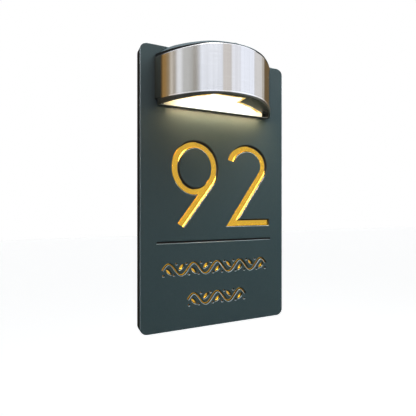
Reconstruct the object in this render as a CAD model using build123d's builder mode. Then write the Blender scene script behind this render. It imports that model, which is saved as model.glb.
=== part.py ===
from build123d import *
from math import acos, atan, atan2, cos, degrees, hypot, radians, sin, sqrt
import os

# House number sign with a half-moon lamp near its top.
# X runs along the plate, +Y points into the wall and +Z points up.
# The origin is the middle of the plate's back face, which lies on the wall at Y = 0.
# Depths called "out" are measured from the plate's front face, away from the wall.

os.makedirs("parts", exist_ok=True)

# Sign plate: a routed front panel bonded to a plain back plate by a sheet of foam tape
plate_width = 160.0
plate_height = 300.0
plate_corner = 7.5
panel_t = 7.0
bond_t = 2.5
bond_inset = 0.3
back_t = 8.5
panel_bevel = 0.4
rule_length = 128.0
rule_width = 2.0
rule_depth = 2.5
rule_z = -56.0

# Numerals routed into the panel: a nine and a two of one stroke width
digit_stroke = 8.0
digit_depth = 2.6
digit_top = 54.0
digit_base = -40.5
nine_left = -49.4
nine_bowl = (50.2, 59.4)
nine_lean = 40.0
two_left = 17.2
two_right = 62.5
two_head_x = 35.5
two_head_radius = 20.0
two_head_start = 168.0

# Lamp: a half moon in plan, standing out from the front panel
lamp_x = -1.5
lamp_half_width = 65.0
lamp_depth = 72.0
nose_radius = 44.0
nose_half_angle = 50.0
lamp_drop = 61.5
bezel_height = 4.0
band_height = 44.5
band_drop_back = 1.2
band_rise_nose = 2.4
band_t = 0.8
pad_t = 1.0
pad_rim = 4.0
pad_inset = 0.5

# Clearances
slip = 0.1
seat = 0.2
screw_slip = 0.2
head_slip = 0.4
thread_slip = 0.05
rest_gap = 0.05

# Lower bezel, with the window for the light
bezel_inset = 0.3
bezel_rim = 3.2
bezel_bar = 5.0
bezel_recess = 1.2
bezel_edge = 0.6
shadow_line = 0.5
shadow_line_low = 1.6
window_inset = 13.0
window_tab_width = 36.0
window_tab_out = 59.5
ledge_width = 1.5
ledge_t = 0.9
lens_drop = 0.65

# Housing behind the steel band
housing_wall = 2.0
housing_back = 3.0
shelf_rise = 14.5
shelf_t = 2.0
post_radius = 3.2
post_inset = 7.0
cable_radius = 2.5
cable_out = 27.0

# Reflector tray and lamp board
tray_wall = 1.2
tray_top_inset = 20.0
tray_top_back = 10.0
led_board_depth = 20.0
led_board_out = 30.0
led_board_t = 1.6
led_size = (3.5, 2.8, 0.8)
led_pitch = (14.0, 10.0)
led_count = (4, 2)
led_window_gap = 0.6
led_screw_gap = 1.5
led_screw_margin = 3.0

# Lid: a flange, hipped sides and a top that slopes down from the wall to the nose
lid_flange = 3.0
lid_step = 1.0
lid_rise_back = 12.8
lid_rise_nose = 4.2
lid_hip_run = 1.2
lid_t = 4.0
lid_round = 0.5
spigot_depth = 3.5
spigot_wall = 2.2
seal_t = 0.8

# Solar panel let into the lid
panel_size = (64.0, 40.0)
panel_out = 28.0
panel_corner = 2.0
panel_board_t = 1.0
cell_t = 0.3
cell_count = 6
cell_gap = 0.8
cell_margin = 1.6
window_t = 1.3

# Power button in front of the solar panel
button_out = 59.5
button_radius = 4.0
button_flange = 5.2
button_flange_t = 1.2
button_proud = 1.5
button_round = 0.6
button_travel = 1.2
button_boss_radius = 6.5
button_slip = 0.1
button_seat_rise = 0.7
plunger_radius = 1.6

# Control board
board_size = (30.0, 34.0)
board_out = 46.8
board_t = 1.6
board_rise = 17.4
board_hole_inset = 3.5
board_post_radius = 2.3
switch_size = (6.0, 6.0, 3.5)
chip_size = (5.0, 6.0, 1.75)
coil_size = (3.0, 3.5)
coil_round = 0.5
plug_size = (8.0, 4.5, 6.0)
chip_spot = (-3.5, -2.5)
coil_spot = (5.5, -2.5)
plug_spots = (-8.0, 2.0)

# Battery and its holder
cell_radius = 7.0
cell_length = 50.0
nub_radius = 2.8
nub_length = 1.0
cell_round = 0.6
holder_wall = 1.5
holder_out = 15.5
holder_height = 11.0
contact_t = 0.4
contact_bow = 4.0
contact_width = 9.0
contact_plate = 10.0

# Screws: (shank radius, head radius, head height)
m4 = (2.0, 3.9, 2.6)
m3 = (1.5, 2.75, 1.6)
m3_low = (1.5, 2.6, 1.0)
m2_5 = (1.25, 2.3, 1.5)
m3_flat = (1.5, 2.6, 1.1)
head_round = 0.4
lamp_screw_x = 45.0
lamp_screw_rise = 6.0
lamp_screw_pocket = 4.0
insert_radius = 3.0
insert_length = 7.0
insert_boss = 4.6
insert_boss_length = 10.0
insert_boss_end = 1.0
bezel_screw_length = 9.0
bezel_nose_out = 65.2
bezel_side_out = 22.0
cover_back_out = 8.0
cover_nose_angle = 45.0
cover_screw_bite = 3.2
board_screw_length = 6.0

# Keyhole hangers let into the back plate
hanger_size = (44.0, 18.0)
hanger_t = 1.5
hanger_corner = 4.0
hanger_x = 50.0
hanger_drop = 18.0
keyhole_entry = 4.5
keyhole_slot = 2.3
keyhole_travel = 7.0
hanger_well_width = 14.0
hanger_well_rim = 1.0
hanger_well_depth = 4.8
hanger_screw_x = 17.0
hanger_screw_length = 4.0
countersink_angle = 45.0

# Derived places
plate_t = back_t + bond_t + panel_t
bond_width = plate_width - 2 * bond_inset
bond_height = plate_height - 2 * bond_inset
front_y = -plate_t
hanger_z = plate_height / 2 - hanger_drop
lamp_low = plate_height / 2 - lamp_drop
band_low = lamp_low + bezel_height
band_high = band_low + band_height
shelf_low = band_low + shelf_rise
band_plane = Plane(
    origin=(lamp_x, front_y, band_high - band_drop_back),
    x_dir=(1, 0, 0),
    z_dir=(0, (band_drop_back + band_rise_nose) / lamp_depth, 1),
)
shelf_high = shelf_low + shelf_t
lamp_screw_z = shelf_high + lamp_screw_rise
board_z = shelf_high + board_rise
housing_out_inset = band_t + slip
housing_in_inset = housing_out_inset + housing_wall
housing_top = band_high - seal_t
bay_back = pad_t + housing_back
spigot_low = band_high - spigot_depth
button_seat_z = spigot_low + button_seat_rise
lid_shoulder = housing_out_inset + lid_step
hip_low = band_high + lid_flange
hip_high = band_high + lid_rise_back
hip_inset = lid_shoulder + (hip_high - hip_low) * lid_hip_run
flange_z = lamp_low + bezel_recess
lens_low = flange_z + ledge_t
bar_out = pad_t + bezel_bar
led_board_low = shelf_low - led_board_t
board_top = board_z + board_t
lid_slope = atan((lid_rise_back - lid_rise_nose) / lamp_depth)
lid_normal = (0, -sin(lid_slope), cos(lid_slope))
lid_plane = Plane(origin=(lamp_x, front_y, hip_high), x_dir=(1, 0, 0), z_dir=lid_normal)
lid_ceiling = lid_plane.offset(-lid_t)
pocket_depth = panel_board_t + cell_t + window_t
button_z = hip_high - button_out * sin(lid_slope) / cos(lid_slope)

# The nose is one arc and each side is another, tangent to it and ending at the lamp's back corner
nose_centre_out = lamp_depth - nose_radius
join_x = nose_radius * sin(radians(nose_half_angle))
join_out = nose_centre_out + nose_radius * cos(radians(nose_half_angle))
join_dir = (sin(radians(nose_half_angle)), cos(radians(nose_half_angle)))
chord = (lamp_half_width - join_x, -join_out)
chord_along = chord[0] * join_dir[0] + chord[1] * join_dir[1]
side_radius = -(chord[0] ** 2 + chord[1] ** 2) / (2 * chord_along)
side_centre_x = join_x - side_radius * join_dir[0]
side_centre_out = join_out - side_radius * join_dir[1]


def side_x(inset, out):
    """Distance from the lamp's middle to its side, pulled in by inset, at a depth out."""
    return side_centre_x + sqrt((side_radius - inset) ** 2 - (out - side_centre_out) ** 2)


def plan(x, out):
    """Point of the lamp's plan in the sign's X and Y."""
    return (lamp_x + x, front_y - out)


def half_moon(inset, back):
    """Plan of the lamp pulled in by inset, with its straight side at a depth back."""
    nose = nose_radius - inset
    side = side_radius - inset
    corner = side_x(inset, back)
    turn = (atan2(join_dir[1], join_dir[0]) + atan2(back - side_centre_out, corner - side_centre_x)) / 2
    middle = (side_centre_x + side * cos(turn), side_centre_out + side * sin(turn))
    join = (nose * join_dir[0], nose_centre_out + nose * join_dir[1])
    with BuildSketch() as moon:
        with BuildLine():
            ThreePointArc(plan(-corner, back), plan(-middle[0], middle[1]), plan(-join[0], join[1]))
            ThreePointArc(plan(-join[0], join[1]), plan(0, nose_centre_out + nose), plan(*join))
            ThreePointArc(plan(*join), plan(*middle), plan(corner, back))
            Line(plan(corner, back), plan(-corner, back))
        make_face()
    return moon.sketch


def window(grow):
    """Plan of the light window, grown outwards by grow: a half moon with a square tab to the nose."""
    with BuildSketch() as outline:
        add(half_moon(window_inset - grow, bar_out - grow))
        with Locations(plan(0, (window_tab_out + grow + nose_centre_out) / 2)):
            Rectangle(window_tab_width + 2 * grow, window_tab_out + grow - nose_centre_out)
    return outline.sketch


def pan_screw(plane, size, length):
    """Pan-head screw whose head rests on the plane, above it, with its shank going down through it."""
    shank, head, head_h = size
    with BuildPart() as screw:
        with BuildSketch(plane):
            Circle(head)
        extrude(amount=head_h)
        fillet(screw.faces().sort_by(Axis(plane.origin, plane.z_dir))[-1].edges(), head_h * head_round)
        with BuildSketch(plane):
            Circle(shank)
        extrude(amount=-length)
    return screw.part


def across(x, out, z):
    """Plane that faces +X at a place in the lamp."""
    return Plane(origin=(*plan(x, out), z), x_dir=(0, 1, 0), z_dir=(1, 0, 0))


def nose_point(inset, angle):
    """Point inset from the nose arc, at an angle from the lamp's middle line."""
    reach = nose_radius - inset
    return (reach * sin(radians(angle)), nose_centre_out + reach * cos(radians(angle)))


def both_sides(point):
    """The point and its mirror image across the lamp's middle line."""
    return [plan(point[0], point[1]), plan(-point[0], point[1])]


led_screw_x = side_x(tray_top_inset, led_board_out) + m2_5[1] + led_screw_gap
led_board_width = 2 * (led_screw_x + led_screw_margin)
bezel_side_x = side_x(post_inset, bezel_side_out)
bezel_points = both_sides((bezel_side_x, bezel_side_out)) + [plan(0, bezel_nose_out)]
cover_points = both_sides((side_x(post_inset, cover_back_out), cover_back_out))
cover_points += both_sides(nose_point(post_inset, cover_nose_angle))
board_hole_x = board_size[0] / 2 - board_hole_inset
board_hole_out = board_size[1] / 2 - board_hole_inset
board_points = both_sides((board_hole_x, board_out - board_hole_out))
board_points += both_sides((board_hole_x, board_out + board_hole_out))
led_screw_points = both_sides((led_screw_x, led_board_out))
lamp_screw_spots = [(lamp_x - lamp_screw_x, lamp_screw_z), (lamp_x + lamp_screw_x, lamp_screw_z)]
hanger_spots = [(-hanger_x, hanger_z), (hanger_x, hanger_z)]
hanger_screw_spots = [(x + side * hanger_screw_x, z) for x, z in hanger_spots for side in (-1, 1)]


# Nine: an oval bowl whose stem leaves it along its tangent and runs down to the left
nine_radii = (nine_bowl[0] / 2, nine_bowl[1] / 2)
nine_centre = (nine_left + nine_radii[0], digit_top - nine_radii[1])
stem_x = nine_centre[0] + (nine_radii[0] - digit_stroke / 2) * cos(radians(nine_lean))
stem_z = nine_centre[1] - (nine_radii[1] - digit_stroke / 2) * sin(radians(nine_lean))
stem_dir = (nine_centre[1] - stem_z) * (nine_radii[0] - digit_stroke / 2) ** 2
stem_run = stem_dir / ((stem_x - nine_centre[0]) * (nine_radii[1] - digit_stroke / 2) ** 2)
stem_foot = digit_base + digit_stroke / 2 * sin(atan(stem_run))

# Two: a round head that runs into a straight diagonal and a flat foot
head_centre = (two_head_x, digit_top - digit_stroke / 2 - two_head_radius)
foot_corner = (two_left, digit_base + digit_stroke / 2)
foot_reach = hypot(foot_corner[0] - head_centre[0], foot_corner[1] - head_centre[1])
foot_angle = atan2(foot_corner[1] - head_centre[1], foot_corner[0] - head_centre[0])
head_end = degrees(foot_angle + acos(two_head_radius / foot_reach))

# Front panel: rounded corners, a softened front edge, and the routed numerals and rule
with BuildPart() as front_panel:
    with BuildSketch(Plane.XZ.offset(back_t + bond_t)):
        RectangleRounded(plate_width, plate_height, plate_corner)
    extrude(amount=panel_t)
    chamfer(front_panel.faces().sort_by(Axis.Y)[0].outer_wire().edges(), panel_bevel)
    with BuildSketch(Plane.XZ.offset(plate_t)):
        with Locations(nine_centre):
            Ellipse(*nine_radii)
            Ellipse(nine_radii[0] - digit_stroke, nine_radii[1] - digit_stroke, mode=Mode.SUBTRACT)
        with BuildLine():
            Line((stem_x, stem_z), (stem_x - stem_run * (stem_z - stem_foot), stem_foot))
        trace(line_width=digit_stroke)
        with BuildLine():
            head = CenterArc(head_centre, two_head_radius, two_head_start, head_end - two_head_start)
            Line(head @ 1, foot_corner)
            Line(foot_corner, (two_right, foot_corner[1]))
        trace(line_width=digit_stroke)
    extrude(amount=-digit_depth, mode=Mode.SUBTRACT)
    with BuildSketch(Plane.XZ.offset(plate_t)):
        with Locations((0, rule_z)):
            SlotOverall(rule_length, rule_width)
    extrude(amount=-rule_depth, mode=Mode.SUBTRACT)
    with BuildSketch(Plane.XZ.offset(plate_t)):
        with Locations(lamp_screw_spots):
            Circle(m4[0] + screw_slip)
    extrude(amount=-panel_t, mode=Mode.SUBTRACT)
front_panel.part.label = "front_panel"
export_step(front_panel.part, "parts/front_panel.step")

# Bond sheet between the two layers of the plate
with BuildPart() as bond_sheet:
    with BuildSketch(Plane.XZ.offset(back_t)):
        RectangleRounded(bond_width, bond_height, plate_corner - bond_inset)
        with Locations(lamp_screw_spots):
            Circle(m4[0] + screw_slip, mode=Mode.SUBTRACT)
    extrude(amount=bond_t)
bond_sheet.part.label = "bond_sheet"
export_step(bond_sheet.part, "parts/bond_sheet.step")

# Back plate: pockets for the hangers and for the heads of the lamp's screws
with BuildPart() as back_plate:
    with BuildSketch(Plane.XZ):
        RectangleRounded(plate_width, plate_height, plate_corner)
    extrude(amount=back_t)
    with BuildSketch(Plane.XZ):
        with Locations(hanger_spots):
            RectangleRounded(hanger_size[0] + 2 * seat, hanger_size[1] + 2 * seat, hanger_corner + seat)
    extrude(amount=hanger_t, mode=Mode.SUBTRACT)
    with BuildSketch(Plane.XZ):
        with Locations(hanger_spots):
            RectangleRounded(hanger_well_width, hanger_size[1] - 2 * hanger_well_rim, hanger_corner)
    extrude(amount=hanger_well_depth, mode=Mode.SUBTRACT)
    with BuildSketch(Plane.XZ):
        with Locations(hanger_screw_spots):
            Circle(m3_flat[0] + thread_slip)
    extrude(amount=hanger_t + hanger_screw_length, mode=Mode.SUBTRACT)
    with BuildSketch(Plane.XZ):
        with Locations(lamp_screw_spots):
            Circle(m4[1] + head_slip)
    extrude(amount=lamp_screw_pocket, mode=Mode.SUBTRACT)
    with BuildSketch(Plane.XZ):
        with Locations(lamp_screw_spots):
            Circle(m4[0] + screw_slip)
    extrude(amount=back_t, mode=Mode.SUBTRACT)
back_plate.part.label = "back_plate"
export_step(back_plate.part, "parts/back_plate.step")

# Keyhole hangers: round entry for the wall screw's head, narrow slot above it for the shank
with BuildPart() as hanger_plates:
    with BuildSketch(Plane.XZ):
        with Locations(hanger_spots):
            RectangleRounded(hanger_size[0], hanger_size[1], hanger_corner)
            SlotCenterToCenter(keyhole_travel, 2 * keyhole_slot, rotation=90, mode=Mode.SUBTRACT)
        with Locations([(x, z - keyhole_travel / 2) for x, z in hanger_spots]):
            Circle(keyhole_entry, mode=Mode.SUBTRACT)
        with Locations(hanger_screw_spots):
            Circle(m3_flat[0] + screw_slip, mode=Mode.SUBTRACT)
    extrude(amount=hanger_t)
    with BuildSketch(Plane.XZ):
        with Locations(hanger_screw_spots):
            Circle(m3_flat[1] + screw_slip)
    extrude(amount=m3_flat[2], taper=countersink_angle, mode=Mode.SUBTRACT)
hanger_plates.part.label = "hanger_plates"
export_step(hanger_plates.part, "parts/hanger_plates.step")

# Foam pad between the lamp's back and the front panel, with the outline of the lamp's back
pad_side = [
    (side_x(lid_shoulder, pad_t) - pad_inset, lamp_low + pad_inset),
    (side_x(lid_shoulder, pad_t) - pad_inset, hip_low),
    (side_x(hip_inset, pad_t) - pad_inset, hip_high - pad_inset),
]
pad_outline = [(lamp_x + x, z) for x, z in pad_side] + [(lamp_x - x, z) for x, z in reversed(pad_side)]
with BuildPart() as lamp_pad:
    with BuildSketch(Plane.XZ.offset(plate_t)):
        with BuildLine():
            Polyline(pad_outline, close=True)
        make_face()
        offset(amount=-pad_rim, mode=Mode.SUBTRACT)
    extrude(amount=pad_t)
lamp_pad.part.label = "lamp_pad"
export_step(lamp_pad.part, "parts/lamp_pad.step")

# Brushed strip bent round the nose and sides of the lamp; its top edge rises a little to the nose
with BuildPart() as steel_band:
    with BuildSketch(Plane.XY.offset(band_low)):
        add(half_moon(0, pad_t))
        add(half_moon(band_t, pad_t - band_t), mode=Mode.SUBTRACT)
    extrude(amount=band_height + band_rise_nose)
    split(bisect_by=band_plane, keep=Keep.BOTTOM)
steel_band.part.label = "steel_band"
export_step(steel_band.part, "parts/steel_band.step")

# Housing: a moulded tub with a shelf between the light chamber below and the electronics bay above
with BuildPart() as lamp_housing:
    with BuildSketch(Plane.XY.offset(band_low)):
        add(half_moon(housing_out_inset, pad_t))
    extrude(amount=housing_top - band_low)
    with BuildSketch(Plane.XY.offset(band_low)):
        add(half_moon(housing_in_inset, bay_back))
    extrude(amount=shelf_low - band_low, mode=Mode.SUBTRACT)
    with BuildSketch(Plane.XY.offset(shelf_high)):
        add(half_moon(housing_in_inset, bay_back))
    extrude(amount=housing_top - shelf_high, mode=Mode.SUBTRACT)
    # Posts down to the bezel, up to the lid and up to the control board
    with BuildSketch(Plane.XY.offset(band_low)):
        with Locations(bezel_points):
            Circle(post_radius)
    extrude(amount=shelf_low - band_low)
    with BuildSketch(Plane.XY.offset(shelf_high)):
        with Locations(cover_points):
            Circle(post_radius)
    extrude(amount=spigot_low - shelf_high)
    with BuildSketch(Plane.XY.offset(shelf_high)):
        with Locations(board_points):
            Circle(board_post_radius)
    extrude(amount=board_z - shelf_high)
    # Bosses in the back wall for the inserts
    with BuildSketch(Plane.XZ.offset(plate_t + pad_t)):
        with Locations(lamp_screw_spots):
            Circle(insert_boss)
    extrude(amount=insert_boss_length)
    with BuildSketch(Plane.XZ.offset(plate_t + pad_t)):
        with Locations(lamp_screw_spots):
            Circle(insert_radius)
    extrude(amount=insert_length + rest_gap, mode=Mode.SUBTRACT)
    with BuildSketch(Plane.XZ.offset(plate_t + pad_t)):
        with Locations(lamp_screw_spots):
            Circle(m4[0] + screw_slip)
    extrude(amount=insert_boss_length - insert_boss_end, mode=Mode.SUBTRACT)
    # Screw holes and the cable hole through the shelf
    with BuildSketch(Plane.XY.offset(band_low)):
        with Locations(bezel_points):
            Circle(m3[0] + thread_slip)
    extrude(amount=bezel_screw_length, mode=Mode.SUBTRACT)
    with BuildSketch(Plane.XY.offset(shelf_low)):
        with Locations(cover_points):
            Circle(m3[0] + screw_slip)
    extrude(amount=housing_top - shelf_low, mode=Mode.SUBTRACT)
    with BuildSketch(Plane.XY.offset(board_z)):
        with Locations(board_points):
            Circle(m2_5[0] + thread_slip)
    extrude(amount=-board_screw_length, mode=Mode.SUBTRACT)
    with BuildSketch(Plane.XY.offset(shelf_low)):
        with Locations(led_screw_points):
            Circle(m2_5[0] + thread_slip)
        with Locations(plan(0, cable_out)):
            Circle(cable_radius)
    extrude(amount=shelf_t, mode=Mode.SUBTRACT)
lamp_housing.part.label = "lamp_housing"
export_step(lamp_housing.part, "parts/lamp_housing.step")

# Bezel: rim and straight bar round a shallow recess, with a ledge that the window rests on
with BuildPart() as lower_bezel:
    with BuildSketch(Plane.XY.offset(lamp_low)):
        add(half_moon(bezel_inset, pad_t))
    extrude(amount=bezel_height)
    rim_edges = lower_bezel.faces().sort_by(Axis.Z)[0].edges().filter_by(GeomType.CIRCLE)
    chamfer(rim_edges, bezel_edge)
    with BuildSketch(Plane.XY.offset(lamp_low)):
        add(half_moon(bezel_inset + bezel_rim, bar_out))
    extrude(amount=bezel_recess, mode=Mode.SUBTRACT)
    with BuildSketch(Plane.XY.offset(lamp_low)):
        add(window(0))
    extrude(amount=bezel_height, mode=Mode.SUBTRACT)
    with BuildSketch(Plane.XY.offset(lens_low)):
        add(window(ledge_width))
    extrude(amount=band_low - lens_low, mode=Mode.SUBTRACT)
    # Shadow line round the rim
    with BuildSketch(Plane.XY.offset(lamp_low + shadow_line_low)):
        add(half_moon(0, 0))
        add(half_moon(bezel_inset + shadow_line, 0), mode=Mode.SUBTRACT)
    extrude(amount=shadow_line, mode=Mode.SUBTRACT)
    with BuildSketch(Plane.XY.offset(flange_z)):
        with Locations(bezel_points):
            Circle(m3[0] + screw_slip)
    extrude(amount=band_low - flange_z, mode=Mode.SUBTRACT)
lower_bezel.part.label = "lower_bezel"
export_step(lower_bezel.part, "parts/lower_bezel.step")

# Opal window, stepped so that its face drops into the bezel
with BuildPart() as diffuser:
    with BuildSketch(Plane.XY.offset(lens_low)):
        add(window(ledge_width - seat))
    extrude(amount=band_low - lens_low)
    with BuildSketch(Plane.XY.offset(lens_low - lens_drop)):
        add(window(-seat))
    extrude(amount=lens_drop)
diffuser.part.label = "diffuser"
export_step(diffuser.part, "parts/diffuser.step")

# Reflector: a tapered tray over the window, with a lip round its mouth and a slot for each lamp
with BuildPart() as reflector:
    with BuildSketch(Plane.XY.offset(band_low)):
        add(window(ledge_width - seat))
    extrude(amount=tray_wall)
    with BuildSketch(Plane.XY.offset(band_low)):
        add(half_moon(window_inset, bar_out + ledge_width))
    with BuildSketch(Plane.XY.offset(led_board_low)):
        add(half_moon(tray_top_inset, tray_top_back))
    loft(ruled=True)
    with BuildSketch(Plane.XY.offset(band_low)):
        add(half_moon(window_inset + tray_wall, bar_out + ledge_width + tray_wall))
    with BuildSketch(Plane.XY.offset(led_board_low - tray_wall)):
        add(half_moon(tray_top_inset + tray_wall, tray_top_back + tray_wall))
    loft(ruled=True, mode=Mode.SUBTRACT)
    with BuildSketch(Plane.XY.offset(led_board_low - tray_wall)):
        with Locations(plan(0, led_board_out)):
            with GridLocations(*led_pitch, *led_count):
                Rectangle(led_size[0] + led_window_gap, led_size[1] + led_window_gap)
    extrude(amount=tray_wall, mode=Mode.SUBTRACT)
reflector.part.label = "reflector"
export_step(reflector.part, "parts/reflector.step")

# Lamp board under the shelf, with its light-emitting diodes
with BuildPart() as led_board:
    with BuildSketch(Plane.XY.offset(led_board_low)):
        with Locations(plan(0, led_board_out)):
            Rectangle(led_board_width, led_board_depth)
        with Locations(led_screw_points):
            Circle(m2_5[0] + screw_slip, mode=Mode.SUBTRACT)
    extrude(amount=led_board_t)
led_board.part.label = "led_board"
export_step(led_board.part, "parts/led_board.step")

with BuildPart() as leds:
    with BuildSketch(Plane.XY.offset(led_board_low)):
        with Locations(plan(0, led_board_out)):
            with GridLocations(*led_pitch, *led_count):
                Rectangle(led_size[0], led_size[1])
    extrude(amount=-led_size[2])
leds.part.label = "leds"
export_step(leds.part, "parts/leds.step")

# Battery holder: an open trough with walls at its ends
holder_low = shelf_high
cell_z = holder_low + holder_wall + cell_radius + slip
holder_half = cell_length / 2 + contact_bow + contact_t
with BuildPart() as battery_holder:
    with BuildSketch(Plane.XY.offset(holder_low)):
        with Locations(plan(0, holder_out)):
            Rectangle(2 * (holder_half + holder_wall), 2 * (cell_radius + slip + holder_wall))
    extrude(amount=holder_height)
    with BuildSketch(Plane.XY.offset(holder_low + holder_wall)):
        with Locations(plan(0, holder_out)):
            Rectangle(2 * holder_half, 2 * (cell_radius + slip))
    extrude(amount=holder_height - holder_wall, mode=Mode.SUBTRACT)
battery_holder.part.label = "battery_holder"
export_step(battery_holder.part, "parts/battery_holder.step")

with BuildPart() as battery:
    with BuildSketch(across(-cell_length / 2, holder_out, cell_z)):
        Circle(cell_radius)
    extrude(amount=cell_length)
    fillet(battery.edges().filter_by(GeomType.CIRCLE), cell_round)
    with BuildSketch(across(cell_length / 2, holder_out, cell_z)):
        Circle(nub_radius)
    extrude(amount=nub_length)
battery.part.label = "battery"
export_step(battery.part, "parts/battery.step")

# Spring contacts: a leaf bowed from a plate at each end wall to the cell
with BuildPart() as battery_contacts:
    with BuildSketch(Plane.XY.offset(cell_z - contact_width / 2)):
        for side, tip in ((1, cell_length / 2 + nub_length), (-1, cell_length / 2)):
            root = holder_half - contact_t
            crest = tip + rest_gap
            ends = [plan(side * root, holder_out + end * contact_bow) for end in (-1, 1)]
            inner = [plan(side * root, holder_out + end * (contact_bow - contact_t)) for end in (-1, 1)]
            with BuildLine():
                ThreePointArc(ends[0], plan(side * crest, holder_out), ends[1])
                Line(ends[1], inner[1])
                ThreePointArc(inner[1], plan(side * (crest + contact_t), holder_out), inner[0])
                Line(inner[0], ends[0])
            make_face()
            with Locations(plan(side * (root + contact_t / 2), holder_out)):
                Rectangle(contact_t, contact_plate)
    extrude(amount=contact_width)
battery_contacts.part.label = "battery_contacts"
export_step(battery_contacts.part, "parts/battery_contacts.step")

# Control board with its components, and the switch under the button
with BuildPart() as control_board:
    with BuildSketch(Plane.XY.offset(board_z)):
        with Locations(plan(0, board_out)):
            Rectangle(*board_size)
        with Locations(board_points):
            Circle(m2_5[0] + screw_slip, mode=Mode.SUBTRACT)
    extrude(amount=board_t)
control_board.part.label = "control_board"
export_step(control_board.part, "parts/control_board.step")

with BuildPart() as board_parts:
    with BuildSketch(Plane.XY.offset(board_top)):
        with Locations(plan(chip_spot[0], board_out + chip_spot[1])):
            Rectangle(*chip_size[:2])
    extrude(amount=chip_size[2])
    with BuildSketch(Plane.XY.offset(board_top)):
        with Locations(plan(coil_spot[0], board_out + coil_spot[1])):
            Circle(coil_size[0])
    extrude(amount=coil_size[1])
    fillet(board_parts.edges().filter_by(GeomType.CIRCLE).group_by(Axis.Z)[-1], coil_round)
    with BuildSketch(Plane.XY.offset(board_z)):
        with Locations([plan(0, board_out + spot) for spot in plug_spots]):
            Rectangle(*plug_size[:2])
    extrude(amount=-plug_size[2])
board_parts.part.label = "board_parts"
export_step(board_parts.part, "parts/board_parts.step")

with BuildPart() as switch_body:
    with BuildSketch(Plane.XY.offset(board_top)):
        with Locations(plan(0, button_out)):
            Rectangle(switch_size[0], switch_size[1])
            Circle(plunger_radius + slip, mode=Mode.SUBTRACT)
    extrude(amount=switch_size[2])
switch_body.part.label = "switch_body"
export_step(switch_body.part, "parts/switch_body.step")

with BuildPart() as switch_plunger:
    with BuildSketch(Plane.XY.offset(board_top + button_travel + slip)):
        with Locations(plan(0, button_out)):
            Circle(plunger_radius)
    extrude(amount=button_seat_z - button_flange_t - board_top - button_travel - slip)
switch_plunger.part.label = "switch_plunger"
export_step(switch_plunger.part, "parts/switch_plunger.step")

# Button: a flange held under the lid and a cap that stands proud of it
with BuildPart() as push_button:
    with BuildSketch(Plane.XY.offset(button_seat_z - button_flange_t)):
        with Locations(plan(0, button_out)):
            Circle(button_flange)
    extrude(amount=button_flange_t - rest_gap)
    with BuildSketch(Plane.XY.offset(button_seat_z - button_flange_t)):
        with Locations(plan(0, button_out)):
            Circle(button_radius)
    extrude(amount=button_z + button_proud - button_seat_z + button_flange_t)
    fillet(push_button.faces().sort_by(Axis.Z)[-1].edges(), button_round)
push_button.part.label = "push_button"
export_step(push_button.part, "parts/push_button.step")

# Hollow under the lid, which leaves its skin, its spigot wall and the posts for its screws
hollow_inset = housing_in_inset + seat + spigot_wall
hollow_back = bay_back + seat + spigot_wall
with BuildPart() as lid_hollow:
    with BuildSketch(Plane.XY.offset(spigot_low)):
        add(half_moon(hollow_inset, hollow_back))
    extrude(amount=spigot_depth)
    with BuildSketch(Plane.XY.offset(band_high)):
        add(half_moon(hollow_inset, hollow_back))
    with BuildSketch(Plane.XY.offset(hip_high)):
        add(half_moon(hollow_inset + lid_rise_back * lid_hip_run, hollow_back))
    loft(ruled=True)
    split(bisect_by=lid_ceiling, keep=Keep.BOTTOM)
    with BuildSketch(Plane.XY.offset(spigot_low)):
        with Locations(cover_points):
            Circle(post_radius + slip)
    extrude(amount=lid_rise_back + spigot_depth, mode=Mode.SUBTRACT)
    with BuildSketch(Plane.XY.offset(button_seat_z)):
        with Locations(plan(0, button_out)):
            Circle(button_boss_radius)
    extrude(amount=lid_rise_back, mode=Mode.SUBTRACT)

# Wedge of the lid: hipped sides below a top that slopes down to the nose
with BuildPart() as lid_wedge:
    with BuildSketch(Plane.XY.offset(band_high)):
        add(half_moon(lid_shoulder, pad_t))
    extrude(amount=lid_flange)
    with BuildSketch(Plane.XY.offset(hip_low)):
        add(half_moon(lid_shoulder, pad_t))
    with BuildSketch(Plane.XY.offset(hip_high)):
        add(half_moon(hip_inset, pad_t))
    loft(ruled=True)
    split(bisect_by=lid_plane, keep=Keep.BOTTOM)

# Lid: a flange level with the housing's walls, the wedge above it and a spigot down into the housing
with BuildPart() as top_cover:
    with BuildSketch(Plane.XY.offset(band_high)):
        add(half_moon(housing_out_inset, pad_t))
    extrude(amount=lid_flange)
    flange_top = top_cover.faces().sort_by(Axis.Z)[-1]
    chamfer(flange_top.edges().filter_by(GeomType.CIRCLE), lid_round)
    add(lid_wedge.part)
    with BuildSketch(Plane.XY.offset(spigot_low)):
        add(half_moon(housing_in_inset + seat, bay_back + seat))
    extrude(amount=spigot_depth)
    add(lid_hollow.part, mode=Mode.SUBTRACT)
    with BuildSketch(lid_plane):
        with Locations((0, -panel_out)):
            RectangleRounded(panel_size[0] + 2 * seat, panel_size[1] + 2 * seat, panel_corner + seat)
    extrude(amount=-pocket_depth, mode=Mode.SUBTRACT)
    with BuildSketch(Plane.XY.offset(spigot_low)):
        with Locations(plan(0, button_out)):
            Circle(button_radius + button_slip)
        with Locations(plan(0, cable_out)):
            Circle(cable_radius)
    extrude(amount=lid_rise_back + spigot_depth, mode=Mode.SUBTRACT)
    with BuildSketch(Plane.XY.offset(spigot_low)):
        with Locations(plan(0, button_out)):
            Circle(button_flange + slip)
    extrude(amount=button_seat_z - spigot_low, mode=Mode.SUBTRACT)
    with BuildSketch(Plane.XY.offset(spigot_low)):
        with Locations(cover_points):
            Circle(m3[0] + thread_slip)
    extrude(amount=cover_screw_bite, mode=Mode.SUBTRACT)
top_cover.part.label = "top_cover"
export_step(top_cover.part, "parts/top_cover.step")

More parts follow.
